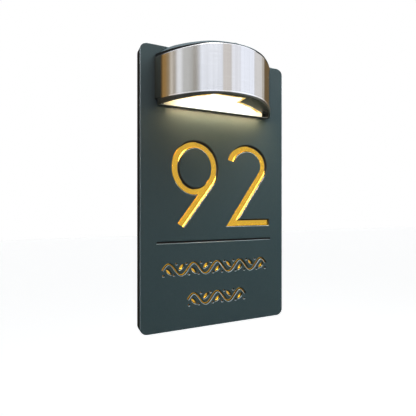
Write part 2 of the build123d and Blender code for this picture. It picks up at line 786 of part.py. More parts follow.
# Seal between the housing's rim and the lid's flange
with BuildPart() as cover_seal:
    with BuildSketch(Plane.XY.offset(housing_top)):
        add(half_moon(housing_out_inset, pad_t))
        add(half_moon(housing_in_inset, bay_back), mode=Mode.SUBTRACT)
    extrude(amount=seal_t)
cover_seal.part.label = "cover_seal"
export_step(cover_seal.part, "parts/cover_seal.step")

# Solar panel: a board, a row of cells and a clear window flush with the lid
with BuildPart() as panel_board:
    with BuildSketch(lid_plane.offset(-pocket_depth)):
        with Locations((0, -panel_out)):
            RectangleRounded(panel_size[0], panel_size[1], panel_corner)
    extrude(amount=panel_board_t)
panel_board.part.label = "panel_board"
export_step(panel_board.part, "parts/panel_board.step")

cell_width = (panel_size[0] - 2 * cell_margin - (cell_count - 1) * cell_gap) / cell_count
with BuildPart() as solar_cells:
    with BuildSketch(lid_plane.offset(-window_t - cell_t)):
        with Locations((0, -panel_out)):
            with GridLocations(cell_width + cell_gap, 0, cell_count, 1):
                Rectangle(cell_width, panel_size[1] - 2 * cell_margin)
    extrude(amount=cell_t)
solar_cells.part.label = "solar_cells"
export_step(solar_cells.part, "parts/solar_cells.step")

with BuildPart() as panel_window:
    with BuildSketch(lid_plane.offset(-window_t)):
        with Locations((0, -panel_out)):
            RectangleRounded(panel_size[0], panel_size[1], panel_corner)
    extrude(amount=window_t)
panel_window.part.label = "panel_window"
export_step(panel_window.part, "parts/panel_window.step")

# Screws and inserts, each kind as one group
with BuildPart() as lamp_inserts:
    with BuildSketch(Plane.XZ.offset(plate_t + pad_t)):
        with Locations(lamp_screw_spots):
            Circle(insert_radius)
            Circle(m4[0] + thread_slip, mode=Mode.SUBTRACT)
    extrude(amount=insert_length)
lamp_inserts.part.label = "lamp_inserts"
export_step(lamp_inserts.part, "parts/lamp_inserts.step")

lamp_screw_length = bond_t + back_t - lamp_screw_pocket + panel_t + pad_t + insert_length
with BuildPart() as lamp_screws:
    for side in (-1, 1):
        head_spot = (lamp_x + side * lamp_screw_x, -lamp_screw_pocket, lamp_screw_z)
        add(pan_screw(Plane(origin=head_spot, x_dir=(1, 0, 0), z_dir=(0, 1, 0)), m4, lamp_screw_length))
lamp_screws.part.label = "lamp_screws"
export_step(lamp_screws.part, "parts/lamp_screws.step")

with BuildPart() as hanger_screws:
    with BuildSketch(Plane.XZ):
        with Locations(hanger_screw_spots):
            Circle(m3_flat[0])
    extrude(amount=hanger_t + hanger_screw_length - rest_gap)
    with BuildSketch(Plane.XZ):
        with Locations(hanger_screw_spots):
            Circle(m3_flat[1])
    extrude(amount=m3_flat[2], taper=countersink_angle)
hanger_screws.part.label = "hanger_screws"
export_step(hanger_screws.part, "parts/hanger_screws.step")

with BuildPart() as bezel_screws:
    for x, y in bezel_points:
        head_plane = Plane(origin=(x, y, flange_z), x_dir=(1, 0, 0), z_dir=(0, 0, -1))
        add(pan_screw(head_plane, m3_low, bezel_screw_length))
bezel_screws.part.label = "bezel_screws"
export_step(bezel_screws.part, "parts/bezel_screws.step")

with BuildPart() as cover_screws:
    for x, y in cover_points:
        head_plane = Plane(origin=(x, y, shelf_low), x_dir=(1, 0, 0), z_dir=(0, 0, -1))
        add(pan_screw(head_plane, m3, spigot_low + cover_screw_bite - rest_gap - shelf_low))
cover_screws.part.label = "cover_screws"
export_step(cover_screws.part, "parts/cover_screws.step")

with BuildPart() as board_screws:
    for x, y in board_points:
        add(pan_screw(Plane.XY.offset(board_top).shift_origin((x, y, board_top)), m2_5, board_screw_length))
    for x, y in led_screw_points:
        head_plane = Plane(origin=(x, y, led_board_low), x_dir=(1, 0, 0), z_dir=(0, 0, -1))
        add(pan_screw(head_plane, m2_5, led_board_t + shelf_t))
board_screws.part.label = "board_screws"
export_step(board_screws.part, "parts/board_screws.step")
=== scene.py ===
from math import acos, atan2, cos, hypot, pi, radians, sin, tau

import bmesh
import bpy
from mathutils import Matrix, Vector


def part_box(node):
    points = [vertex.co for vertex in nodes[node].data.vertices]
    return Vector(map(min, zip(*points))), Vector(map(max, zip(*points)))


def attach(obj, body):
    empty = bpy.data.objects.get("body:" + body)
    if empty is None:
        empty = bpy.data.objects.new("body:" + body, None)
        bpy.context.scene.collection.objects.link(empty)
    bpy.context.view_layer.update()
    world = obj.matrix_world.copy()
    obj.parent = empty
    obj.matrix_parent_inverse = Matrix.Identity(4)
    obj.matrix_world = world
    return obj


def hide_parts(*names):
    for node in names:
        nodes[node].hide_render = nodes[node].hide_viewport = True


# House number sign with a half-moon lamp. X runs along the plate, +Y points into the wall, +Z is up.
# All sizes are in metres. "Out" is the distance from the plate's front face, away from the wall.

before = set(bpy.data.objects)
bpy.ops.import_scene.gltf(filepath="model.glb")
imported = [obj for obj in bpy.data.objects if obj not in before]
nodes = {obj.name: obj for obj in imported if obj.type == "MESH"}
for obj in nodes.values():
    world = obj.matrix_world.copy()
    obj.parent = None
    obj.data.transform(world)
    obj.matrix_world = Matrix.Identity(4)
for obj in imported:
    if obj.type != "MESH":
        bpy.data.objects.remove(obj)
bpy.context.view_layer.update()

MM = 0.001

# The plate, as the frame has it
panel_low, panel_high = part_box("front_panel")
FRONT_Y = panel_low.y
PANEL_BACK_Y = panel_high.y
PLATE_CORNER = 7.5 * MM
PLATE_BEVEL = 0.4 * MM
BEVEL_BREAK = 0.12 * MM

# Plan of the lamp: a nose arc between two flatter side arcs that end at the lamp's back corners
band_low, band_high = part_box("steel_band")
LAMP_X = (band_low.x + band_high.x) / 2
LAMP_DEPTH = FRONT_Y - band_low.y
LAMP_HALF_WIDTH = 65.0 * MM
NOSE_RADIUS = 44.0 * MM
NOSE_HALF_ANGLE = radians(50)
BAND_T = 0.8 * MM
PAD_T = 1.0 * MM
LID_SKIRT = 1.4 * MM

# The strip's top edge rises to the nose and dips at the right. A bevel is (how far in, how high).
# Places along the strip are measured from the lamp's middle; the darkened stretch at its left end, a
# painted reflection of the shaded plate beside it, is measured from the strip's left end.
BAND_RISE = 3.6 * MM
BAND_DROP = 0.3 * MM
DIP, DIP_FROM, DIP_RUN = 1.0 * MM, 6 * MM, 20 * MM
TOP_BEVEL = (0.25 * MM, 0.6 * MM)
LOW_BEVEL = (0.45 * MM, 1.2 * MM)
POLISHED_HIGHLIGHT_FROM = -56 * MM
PAINTED_LID_LINE_FROM = 18 * MM
PAINTED_DARK_END = 15.0 * MM

# Recesses in the plate's face: two numerals, a rule and two vines
EDGE_ROUND = 0.4 * MM
CUTTER_PROUD = 1.0 * MM
DIGIT_STROKE = 8.0 * MM
DIGIT_DEPTH = 3.2 * MM
DIGIT_FILLET = 2.0 * MM
DIGIT_TOP, DIGIT_BASE = 54.0 * MM, -40.5 * MM
NINE_LEFT = -49.4 * MM
NINE_HALF_BOWL = (25.1 * MM, 29.7 * MM)
NINE_LEAN = radians(40)
TWO_LEFT, TWO_RIGHT = 17.2 * MM, 62.5 * MM
TWO_HEAD_X, TWO_HEAD_RADIUS = 35.5 * MM, 20.0 * MM
TWO_HEAD_START = radians(168)
RULE_Z = -56.0 * MM
RULE_LENGTH = 128.0 * MM
RULE_STROKE = 2.0 * MM
RULE_ZONE = 5 * MM
VINE_STROKE = 2.1 * MM
VINE_DEPTH = 3.4 * MM
VINE_FILLET = 0.9 * MM
VINE_ROWS = ((-85.0 * MM, 58.5 * MM), (-118.5 * MM, 32.5 * MM))  # height and half length
VINE_WAVE, VINE_SWING, VINE_STEP = 26.0 * MM, 6.2 * MM, 0.7 * MM
LEAF_HALF_LENGTH = 0.72 * VINE_SWING
LEAF_HALF_WIDTH = 0.30 * VINE_SWING
LEAF_OFF = 0.36 * VINE_SWING
LEAF_LEAN = radians(38)
BERRY = 1.05 * MM
BERRY_ASIDE = 0.85 * VINE_SWING
BERRY_OFF = 0.95 * VINE_SWING

# The plate's materials, and the painted shade: recess sides that face left or down take the dark cut
# material where the gold would be
# The pale arris material is a painted highlight on the plate's front bevel and on lips that face up
FACE, CUT, GOLD, HIGHLIGHT_ARRIS = range(4)
PAINTED_SHADE_LEFT, PAINTED_SHADE_DOWN, PAINTED_SHADE_LIMIT = 0.5, 0.87, 0.12

# Bezel under the lamp: a rim and a rear bar round a recess, whose flange frames the lit window
bezel_low, bezel_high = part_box("lower_bezel")
screws_low, screws_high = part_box("bezel_screws")
RIM_INSET = 0.3 * MM
RIM_WIDTH = 2.2 * MM
RIM_RISE = 2.0 * MM
RIM_SAG = 2.0 * MM
RIM_CORNER = 7.0 * MM
GROOVE = 0.5 * MM
BAR_OUT = 4.0 * MM
FLANGE_Z = bezel_low.z + 3.4 * MM
HEAD_RADIUS, HEAD_HEIGHT = 2.6 * MM, 1.2 * MM
CROSS_ARM, CROSS_SLOT, CROSS_DEPTH = 1.4 * MM, 0.32 * MM, 0.7 * MM

# Light window: its outline, its raised lit face and the lit lip along the rear bar
WINDOW_INSET = 9.0 * MM
TAB_LEFT, TAB_RIGHT = -26.0 * MM, 10.6 * MM
TAB_OUT = 59.5 * MM
ARCH_WIDTH, ARCH_OUT, ARCH_POWER, ARCH_STEPS = 55.0 * MM, 44.0 * MM, 1.6, 24
OPAL_SLIP = 0.1 * MM
OPAL_Z = FLANGE_Z + 0.3 * MM
LIT_INSET, LIT_STEP = 3.0 * MM, 0.25 * MM
LIP_LEFT, LIP_RIGHT, LIP_T = -58 * MM, 51.5 * MM, 0.6 * MM
LIP_Z = bezel_low.z - 0.3 * MM


# ---------------------------------------------------------------- node helpers

def new_material(name):
    """A node material with an empty tree and its Principled shader wired to the output."""
    made = bpy.data.materials.new(name)
    made.use_nodes = True
    tree = made.node_tree
    tree.nodes.clear()
    out = tree.nodes.new("ShaderNodeOutputMaterial")
    shader = tree.nodes.new("ShaderNodeBsdfPrincipled")
    tree.links.new(shader.outputs["BSDF"], out.inputs["Surface"])
    return made, tree, shader


def put(tree, kind, values=None, links=None, **settings):
    """Adds a node, sets its properties, its socket values and the links into it."""
    made = tree.nodes.new("ShaderNode" + kind)
    for key, value in settings.items():
        setattr(made, key, value)
    for key, value in (values or {}).items():
        made.inputs[key].default_value = value
    for key, source in (links or {}).items():
        tree.links.new(source, made.inputs[key])
    return made


def place(tree, scale=(1, 1, 1)):
    """Coordinates in the sign's frame, stretched by scale."""
    coords = put(tree, "TexCoord")
    mapped = put(tree, "Mapping", {"Scale": scale}, {"Vector": coords.outputs["Object"]})
    return mapped.outputs["Vector"]


def noise(tree, vector, scale, detail=4.0, roughness=0.5):
    """Noise value at a place."""
    values = {"Scale": scale, "Detail": detail, "Roughness": roughness}
    return put(tree, "TexNoise", values, {"Vector": vector}).outputs["Fac"]


def ramp(tree, source, stops, interpolation="LINEAR"):
    """Colour ramp with (position, colour) stops, where a single number means a grey."""
    made = put(tree, "ValToRGB", links={"Fac": source})
    made.color_ramp.interpolation = interpolation
    elements = made.color_ramp.elements
    for index, (position, colour) in enumerate(stops):
        if index > 1:
            elements.new(position)
        elements[index].position = position
        rgb = (colour,) * 3 if isinstance(colour, (int, float)) else colour
        elements[index].color = (*rgb, 1)
    return made.outputs["Color"]


def stretch(tree, source, low, high):
    """A 0 to 1 value spread over low to high."""
    values = {"To Min": low, "To Max": high}
    return put(tree, "MapRange", values, {"Value": source}).outputs["Result"]


def blend_colours(tree, factor, first, second, blend="MIX"):
    """Mix of two colours, each a socket or a tuple."""
    made = put(tree, "Mix", data_type="RGBA", blend_type=blend)
    if isinstance(factor, (int, float)):
        made.inputs[0].default_value = factor
    else:
        tree.links.new(factor, made.inputs[0])
    for socket, value in ((made.inputs[6], first), (made.inputs[7], second)):
        if isinstance(value, tuple):
            socket.default_value = (*value, 1)
        else:
            tree.links.new(value, socket)
    return made.outputs[2]


def bump(tree, shader, height, strength, distance):
    """Bump from a height socket into the shader's normal."""
    made = put(tree, "Bump", {"Strength": strength, "Distance": distance}, {"Height": height})
    tree.links.new(made.outputs["Normal"], shader.inputs["Normal"])


def moulded(name, colour, roughness, grain=0.5 * MM, depth=0.02 * MM, tone=0.12, specular=0.5):
    """Moulded plastic or paint: a fine spark texture, slightly cloudy in colour and gloss."""
    made, tree, shader = new_material(name)
    fine = noise(tree, place(tree), 1 / grain, 3.0)
    cloud = noise(tree, place(tree), 1 / (40 * MM), 3.0)
    dark = tuple(channel * (1 - tone) for channel in colour)
    pale = tuple(min(1, channel * (1 + tone)) for channel in colour)
    clouded = blend_colours(tree, cloud, dark, pale)
    grained = blend_colours(tree, stretch(tree, fine, 0, 0.35), clouded, dark)
    tree.links.new(grained, shader.inputs["Base Color"])
    tree.links.new(stretch(tree, fine, roughness - 0.06, roughness + 0.08), shader.inputs["Roughness"])
    shader.inputs["Specular IOR Level"].default_value = specular
    bump(tree, shader, fine, 0.6, depth)
    return made


def metal(name, colour, roughness, streak=(1, 1, 1), scale=1 / (0.4 * MM), tone=0.15, depth=0.01 * MM):
    """Bare metal with streaks that run along the axis whose streak factor is small."""
    made, tree, shader = new_material(name)
    lines = noise(tree, place(tree, streak), scale, 4.0, 0.6)
    cloud = noise(tree, place(tree), 1 / (12 * MM), 3.0)
    dark = tuple(channel * (1 - tone) for channel in colour)
    base = blend_colours(tree, stretch(tree, lines, 0, 1), dark, colour)
    base = blend_colours(tree, stretch(tree, cloud, 0, 0.3), base, dark)
    tree.links.new(base, shader.inputs["Base Color"])
    tree.links.new(stretch(tree, lines, roughness - 0.05, roughness + 0.1), shader.inputs["Roughness"])
    shader.inputs["Metallic"].default_value = 1.0
    bump(tree, shader, lines, 0.5, depth)
    return made


# ------------------------------------------------------------------- materials

def face_material():
    """Satin anthracite face of the plate: a fine even grain and a faint cloudiness."""
    made, tree, shader = new_material("anthracite_face")
    speck = noise(tree, place(tree), 1 / (0.35 * MM), 2.0, 0.6)
    cloud = noise(tree, place(tree), 1 / (55 * MM), 4.0)
    base = blend_colours(tree, cloud, (0.0185, 0.0350, 0.0385), (0.025, 0.0405, 0.0430))
    specks = ramp(tree, speck, [(0.35, 0.0), (0.75, 0.5)])
    base = blend_colours(tree, specks, base, (0.042, 0.065, 0.068))
    tree.links.new(base, shader.inputs["Base Color"])
    tree.links.new(stretch(tree, speck, 0.38, 0.52), shader.inputs["Roughness"])
    shader.inputs["Specular IOR Level"].default_value = 0.12
    bump(tree, shader, speck, 0.5, 0.03 * MM)
    return made


def cut_edge_material():
    """Cut edge of the dark sheet: near black, with a fine grain."""
    return moulded("dark_cut_edge", (0.006, 0.005, 0.004), 0.45, 0.3 * MM, 0.02 * MM, 0.3, 0.25)


def gold_material():
    """Gold enamel on the floors of the recesses: glossy, with soft brush marks."""
    made, tree, shader = new_material("gold_enamel")
    marks = noise(tree, place(tree, (1.0, 1.0, 0.35)), 1 / (7 * MM), 3.0, 0.5)
    fine = noise(tree, place(tree), 1 / (0.5 * MM), 3.0)
    base = blend_colours(tree, marks, (0.52, 0.28, 0.005), (0.64, 0.38, 0.010))
    base = blend_colours(tree, stretch(tree, fine, 0, 0.15), base, (0.46, 0.22, 0.004))
    tree.links.new(base, shader.inputs["Base Color"])
    tree.links.new(stretch(tree, marks, 0.14, 0.24), shader.inputs["Roughness"])
    shader.inputs["Metallic"].default_value = 0.9
    shader.inputs["Coat Weight"].default_value = 0.7
    shader.inputs["Coat Roughness"].default_value = 0.12
    bump(tree, shader, marks, 0.15, 0.05 * MM)
    return made


def steel_material():
    """Brushed stainless strip: long scratches, a stretched highlight and a left end darkened in colour as
    a painted reflection of the shaded plate.
    """
    made, tree, shader = new_material("brushed_strip")
    line = put(tree, "UVMap", uv_map="along")
    long_lines = put(tree, "Mapping", {"Scale": (18.0, 5200.0, 1.0)}, {"Vector": line.outputs["UV"]})
    short_lines = put(tree, "Mapping", {"Scale": (70.0, 2600.0, 1.0)}, {"Vector": line.outputs["UV"]})
    lines = noise(tree, long_lines.outputs["Vector"], 1.0, 3.0, 0.7)
    ticks = noise(tree, short_lines.outputs["Vector"], 1.0, 2.0, 0.6)
    brushed = blend_colours(tree, 0.5, lines, ticks)
    base = blend_colours(tree, brushed, (0.50, 0.495, 0.49), (0.80, 0.80, 0.81))
    # Painted reflection: the colour darkens towards the strip's left end, where it mirrors the plate in
    # shade
    split = put(tree, "SeparateXYZ", links={"Vector": line.outputs["UV"]})
    near = put(tree, "MapRange", {"From Max": PAINTED_DARK_END}, {"Value": split.outputs["X"]})
    shade = ramp(tree, near.outputs["Result"],
                 [(0.0, (0.26, 0.25, 0.20)), (0.78, (0.34, 0.33, 0.27)), (1.0, 1.0)])
    base = blend_colours(tree, 1.0, base, shade, "MULTIPLY")
    tree.links.new(base, shader.inputs["Base Color"])
    tree.links.new(stretch(tree, brushed, 0.11, 0.19), shader.inputs["Roughness"])
    shader.inputs["Metallic"].default_value = 1.0
    shader.inputs["Anisotropic"].default_value = 0.95
    shader.inputs["Anisotropic Rotation"].default_value = 0.25
    tangent = put(tree, "Tangent", direction_type="UV_MAP", uv_map="along")
    tree.links.new(tangent.outputs["Tangent"], shader.inputs["Tangent"])
    bump(tree, shader, brushed, 0.15, 0.01 * MM)
    return made


def opal_material():
    """Opal window, lit from behind: white in the middle, cream at the right, amber at the left tip."""
    made, tree, shader = new_material("lit_opal")
    coords = put(tree, "TexCoord")
    split = put(tree, "SeparateXYZ", links={"Vector": coords.outputs["Object"]})
    share = put(tree, "MapRange", {"From Min": -LAMP_HALF_WIDTH, "From Max": LAMP_HALF_WIDTH},
                {"Value": split.outputs["X"]})
    glow = ramp(tree, share.outputs["Result"],
                [(0.04, (0.24, 0.17, 0.07)), (0.10, (0.55, 0.44, 0.22)), (0.155, (0.92, 0.84, 0.60)),
                 (0.22, (1.0, 1.0, 1.0)), (0.75, (1.0, 1.0, 1.0)), (0.85, (0.95, 0.88, 0.66)),
                 (0.92, (0.86, 0.72, 0.40))])
    mottle = noise(tree, place(tree, (0.3, 1, 1)), 1 / (5 * MM), 3.0)
    tree.links.new(blend_colours(tree, stretch(tree, mottle, 0, 0.2), glow, (1.0, 0.88, 0.62)),
                   shader.inputs["Emission Color"])
    shader.inputs["Emission Strength"].default_value = 1.15
    shader.inputs["Base Color"].default_value = (0.75, 0.72, 0.62, 1)
    tree.links.new(stretch(tree, mottle, 0.25, 0.4), shader.inputs["Roughness"])
    return made


def opal_edge_material():
    """Edge of the opal window, where the light comes through amber."""
    made, tree, shader = new_material("amber_edge")
    cloud = noise(tree, place(tree), 1 / (8 * MM), 3.0)
    amber = ramp(tree, cloud,
                 [(0.3, (0.55, 0.30, 0.05)), (0.55, (0.95, 0.68, 0.22)), (0.75, (1.0, 0.9, 0.6))])
    tree.links.new(amber, shader.inputs["Emission Color"])
    tree.links.new(amber, shader.inputs["Base Color"])
    shader.inputs["Emission Strength"].default_value = 0.85
    tree.links.new(stretch(tree, cloud, 0.3, 0.45), shader.inputs["Roughness"])
    return made


def lid_material():
    """Moulded lid: a near-black skirt, which is painted shade, and a lighter edge line, which is a
    painted highlight, below a grey-blue top.
    """
    made, tree, shader = new_material("lid_moulding")
    coords = put(tree, "TexCoord")
    split = put(tree, "SeparateXYZ", links={"Vector": coords.outputs["Object"]})
    edge_z = band_high.z + LID_SKIRT
    height = put(tree, "MapRange", {"From Min": edge_z - 4 * MM, "From Max": edge_z + 4 * MM},
                 {"Value": split.outputs["Z"]})
    fine = noise(tree, place(tree), 1 / (0.5 * MM), 3.0)
    cloud = noise(tree, place(tree), 1 / (30 * MM), 3.0)
    # Painted shade and highlight by height: near black below the edge, a lighter line at the edge,
    # grey-blue above
    tone = ramp(tree, height.outputs["Result"],
                [(0.44, (0.006, 0.007, 0.007)), (0.47, (0.05, 0.07, 0.075)),
                 (0.53, (0.05, 0.07, 0.075)), (0.56, (0.100, 0.150, 0.172))])
    shade = blend_colours(tree, stretch(tree, cloud, 0, 0.2), tone, (0.030, 0.046, 0.054))
    tree.links.new(shade, shader.inputs["Base Color"])
    tree.links.new(stretch(tree, fine, 0.40, 0.55), shader.inputs["Roughness"])
    shader.inputs["Specular IOR Level"].default_value = 0.12
    bump(tree, shader, fine, 0.5, 0.02 * MM)
    return made


def clear_material():
    """Clear resin over the solar cells."""
    made, tree, shader = new_material("clear_resin")
    ripple = noise(tree, place(tree), 1 / (9 * MM), 2.0)
    tree.links.new(blend_colours(tree, ripple, (0.86, 0.90, 0.94), (0.92, 0.95, 0.98)),
                   shader.inputs["Base Color"])
    tree.links.new(stretch(tree, ripple, 0.04, 0.12), shader.inputs["Roughness"])
    shader.inputs["Transmission Weight"].default_value = 1.0
    shader.inputs["IOR"].default_value = 1.45
    bump(tree, shader, ripple, 0.1, 0.05 * MM)
    return made


def cell_material():
    """Crystalline cells: deep blue grains of uneven tone crossed by fine silver fingers."""
    made, tree, shader = new_material("solar_blue")
    grains = put(tree, "TexVoronoi", {"Scale": 1 / (4 * MM)}, {"Vector": place(tree)})
    tone = put(tree, "SeparateColor", links={"Color": grains.outputs["Color"]})
    blue = blend_colours(tree, tone.outputs["Red"], (0.008, 0.016, 0.060), (0.020, 0.045, 0.140))
    wave = put(tree, "TexWave", {"Scale": 1 / (12 * MM)}, {"Vector": place(tree)}, bands_direction="Y")
    finger = ramp(tree, wave.outputs["Fac"], [(0.0, 1.0), (0.06, 0.0)])
    tree.links.new(blend_colours(tree, finger, blue, (0.35, 0.37, 0.40)), shader.inputs["Base Color"])
    tree.links.new(stretch(tree, tone.outputs["Green"], 0.18, 0.34), shader.inputs["Roughness"])
    return made


face = face_material()
cut_edge = cut_edge_material()
gold = gold_material()
steel = steel_material()
# Polished edge of the strip, also a painted highlight: a brighter metal for the white lines along the
# strip's bevels
polished_edge_highlight = metal("polished_edge_highlight", (0.88, 0.88, 0.90), 0.2, (0.05, 0.05, 1), tone=0.05)
# Painted highlight: a pale material for the light lines along cut edges that catch the light
arris_highlight = moulded("arris_painted_highlight", (0.24, 0.30, 0.33), 0.4, 0.3 * MM, 0.01 * MM, 0.1)
opal = opal_material()
opal_edge = opal_edge_material()
dark_plastic = moulded("dark_moulding", (0.012, 0.015, 0.015), 0.42, 0.5 * MM)
lid_plastic = lid_material()
bezel_plastic = moulded("bezel_moulding", (0.030, 0.032, 0.022), 0.28, 0.5 * MM, 0.01 * MM)
# Painted highlight: a pale band standing for the light line along the bezel's rib
bezel_rib_painted_highlight = moulded("bezel_rib_painted_highlight", (0.58, 0.60, 0.54), 0.25, 0.5 * MM, 0.01 * MM)
white_plastic = moulded("white_moulding", (0.80, 0.80, 0.78), 0.3, 0.6 * MM)
foam = moulded("closed_cell_foam", (0.010, 0.010, 0.010), 0.8, 0.7 * MM, 0.2 * MM)
silicone = moulded("black_silicone", (0.012, 0.012, 0.012), 0.5, 0.6 * MM)
film = moulded("adhesive_film", (0.16, 0.105, 0.055), 0.4, 0.8 * MM)
solder_resist = moulded("solder_resist", (0.010, 0.085, 0.035), 0.28, 1.2 * MM)
chip_black = moulded("chip_black", (0.012, 0.012, 0.013), 0.45, 0.4 * MM)
phosphor = moulded("phosphor", (0.85, 0.62, 0.16), 0.35, 0.4 * MM)
sleeve = moulded("shrink_sleeve", (0.02, 0.10, 0.24), 0.25, 1.0 * MM)
button_rubber = moulded("button_rubber", (0.16, 0.17, 0.17), 0.55, 0.4 * MM)
stainless = metal("rolled_stainless", (0.60, 0.60, 0.59), 0.28, (0.05, 1, 1))
zinc = metal("zinc_plate", (0.62, 0.63, 0.66), 0.3)
blackened = metal("blackened_steel", (0.16, 0.14, 0.12), 0.35)
nickel = metal("nickel_plate", (0.70, 0.67, 0.60), 0.22)
brass = metal("turned_brass", (0.72, 0.50, 0.18), 0.3)

node_materials = {
    "bond_sheet": film, "back_plate": cut_edge, "hanger_plates": stainless, "hanger_screws": zinc,
    "lamp_pad": foam, "lamp_housing": dark_plastic,
    "reflector": white_plastic, "led_board": solder_resist, "leds": phosphor,
    "battery_holder": chip_black, "battery": sleeve, "battery_contacts": nickel,
    "control_board": solder_resist, "board_parts": chip_black, "switch_body": chip_black,
    "switch_plunger": white_plastic, "push_button": button_rubber, "top_cover": lid_plastic,
    "cover_seal": silicone, "panel_board": solder_resist, "solar_cells": cell_material(),
    "panel_window": clear_material(), "lamp_inserts": brass, "lamp_screws": zinc,
    "cover_screws": zinc, "board_screws": zinc,
}
for name, material in node_materials.items():
    nodes[name].data.materials.clear()
    nodes[name].data.materials.append(material)


# ---------------------------------------------------------------- mesh helpers

def new_object(name, verts, faces, materials=()):
    """Mesh object from points and faces, with outward normals."""
    mesh = bpy.data.meshes.new(name)
    mesh.from_pydata([tuple(v) for v in verts], [], faces)
    made = bpy.data.objects.new(name, mesh)
    bpy.context.scene.collection.objects.link(made)
    for material in materials:
        mesh.materials.append(material)
    shell = bmesh.new()
    shell.from_mesh(mesh)
    bmesh.ops.recalc_face_normals(shell, faces=shell.faces)
    shell.to_mesh(mesh)
    shell.free()
    return made


def loft(rings, closed):
    """Faces over a grid of rings, closed loops of equal count. closed joins the last to the first."""
    count = len(rings[0])
    verts = [point for ring in rings for point in ring]
    faces = []
    spans = len(rings) if closed else len(rings) - 1
    for r in range(spans):
        here, there = r * count, (r + 1) % len(rings) * count
        for k in range(count):
            n = (k + 1) % count
            faces.append((here + k, here + n, there + n, there + k))
    if not closed:
        faces.append(tuple(reversed(range(count))))
        faces.append(tuple(range((len(rings) - 1) * count, len(rings) * count)))
    return verts, faces


def smooth_by_angle(made, angle=radians(35)):
    """Smooth shading that keeps edges sharper than angle."""
    for polygon in made.data.polygons:
        polygon.use_smooth = True
    shell = bmesh.new()
    shell.from_mesh(made.data)
    for edge in shell.edges:
        edge.smooth = edge.calc_face_angle(0) < angle
    shell.to_mesh(made.data)
    shell.free()
    modifier = made.modifiers.new("even_shading", "WEIGHTED_NORMAL")
    modifier.keep_sharp = True


def apply_boolean(target, cutter, operation):
    """Boolean of two objects, applied to the target. The cutter is removed."""
    modifier = target.modifiers.new("cut", "BOOLEAN")
    modifier.operation = operation
    modifier.object = cutter
    modifier.solver = "EXACT"
    bpy.context.view_layer.update()
    evaluated = target.evaluated_get(bpy.context.evaluated_depsgraph_get())
    result = bpy.data.meshes.new_from_object(evaluated)
    target.modifiers.clear()
    target.data = result
    bpy.data.objects.remove(cutter)


# --------------------------------------------------------------------- strokes

def groove_profile(width, depth, fillet, turns=6):
    """Section of a recess: (across, depth) from one lip down, over the filleted floor and up again."""
    half, lip = width / 2, width / 2 + EDGE_ROUND
    side = [(lip, -CUTTER_PROUD), (lip, 0.0), (half, EDGE_ROUND)]
    for step in range(turns + 1):
        turn = pi / 2 * step / turns
        side.append((half - fillet + fillet * cos(turn), depth - fillet + fillet * sin(turn)))
    return [(-across, down) for across, down in side] + side[::-1]


def stroke(name, path, width, depth, fillet, closed=False):
    """Cutter for a recess of constant width along a path of (x, z) points on the plate's face."""
    profile = groove_profile(width, depth, fillet)
    count = len(path)
    rings = []
    for i in range(count):
        here = Vector(path[i])
        before = Vector(path[i - 1]) if closed or i else None
        after = Vector(path[(i + 1) % count]) if closed or i < count - 1 else None
        d0 = (here - before).normalized() if before is not None else (after - here).normalized()
        d1 = (after - here).normalized() if after is not None else d0
        along = (d0 + d1).normalized()
        mitre = 1 / max(0.3, along.dot(d1))
        across = Vector((along.y, -along.x)) * mitre
        ring = []
        for offset, down in profile:
            grow = 0
            if not closed and i in (0, count - 1):
                grow = (abs(offset) - width / 2) * (-1 if i == 0 else 1)
                grow = grow if abs(offset) > width / 2 else 0
            spot = here + across * offset + along * grow
            ring.append((spot.x, FRONT_Y + down, spot.y))
        rings.append(ring)
    return new_object(name, *loft(rings, closed))


def arc_points(centre, radii, start, end, steps):
    """Points of an elliptic arc, both ends included."""
    points = []
    for step in range(steps + 1):
        turn = start + (end - start) * step / steps
        points.append((centre[0] + radii[0] * cos(turn), centre[1] + radii[1] * sin(turn)))
    return points


def numeral_nine():
    """A bowl with a straight stem that leaves it along its tangent and runs down to the left."""
    outer = NINE_HALF_BOWL
    radii = (outer[0] - DIGIT_STROKE / 2, outer[1] - DIGIT_STROKE / 2)
    centre = (NINE_LEFT + outer[0], DIGIT_TOP - outer[1])
    bowl = arc_points(centre, radii, 0, tau, 96)[:-1]
    start = Vector((centre[0] + radii[0] * cos(NINE_LEAN), centre[1] - radii[1] * sin(NINE_LEAN)))
    down = Vector((-radii[0] * sin(NINE_LEAN), -radii[1] * cos(NINE_LEAN))).normalized()
    drop = (start.y - DIGIT_BASE - abs(down.x) * DIGIT_STROKE / 2) / -down.y
    stem = [start - down * 0.5 * MM, start + down * drop]
    return [("nine_bowl", bowl, True), ("nine_stem", [tuple(p) for p in stem], False)]


def numeral_two():
    """A round head that runs into a straight diagonal and a flat foot."""
    radius = TWO_HEAD_RADIUS
    centre = Vector((TWO_HEAD_X, DIGIT_TOP - DIGIT_STROKE / 2 - radius))
    foot = Vector((TWO_LEFT, DIGIT_BASE + DIGIT_STROKE / 2))
    reach = foot - centre
    leave = atan2(reach.y, reach.x) + acos(radius / reach.length)
    head = arc_points(centre, (radius, radius), TWO_HEAD_START, leave, 60)
    return [("two", head + [tuple(foot), (TWO_RIGHT, foot.y)], False)]


def vine_stem(middle_z, half_length):
    """Wavy stem, the same on both sides of the middle, as a path of (x, z) points."""
    steps = 2 * int(half_length / VINE_STEP)
    places = [half_length * (2 * step / steps - 1) for step in range(steps + 1)]
    return [(x, middle_z + VINE_SWING * cos(tau * x / VINE_WAVE)) for x in places]


def vine_leaves(middle_z, half_length):
    """A leaning leaf and two berries in each hollow: (x, z, half length, half width, lean)."""
    leaves = []
    hollows = int(2 * half_length / VINE_WAVE)
    for index in range(-hollows, hollows + 1):
        x = index * VINE_WAVE / 2
        up = -1 if index % 2 == 0 else 1
        side = -1 if index < 0 else 1
        lean = LEAF_LEAN * side * up
        leaves.append((x, middle_z + up * LEAF_OFF, LEAF_HALF_LENGTH, LEAF_HALF_WIDTH, lean))
        for step in (-1, 1):
            spot = (x + step * BERRY_ASIDE, middle_z + up * BERRY_OFF)
            leaves.append((*spot, BERRY, 0.98 * BERRY, 0.0))
    return leaves


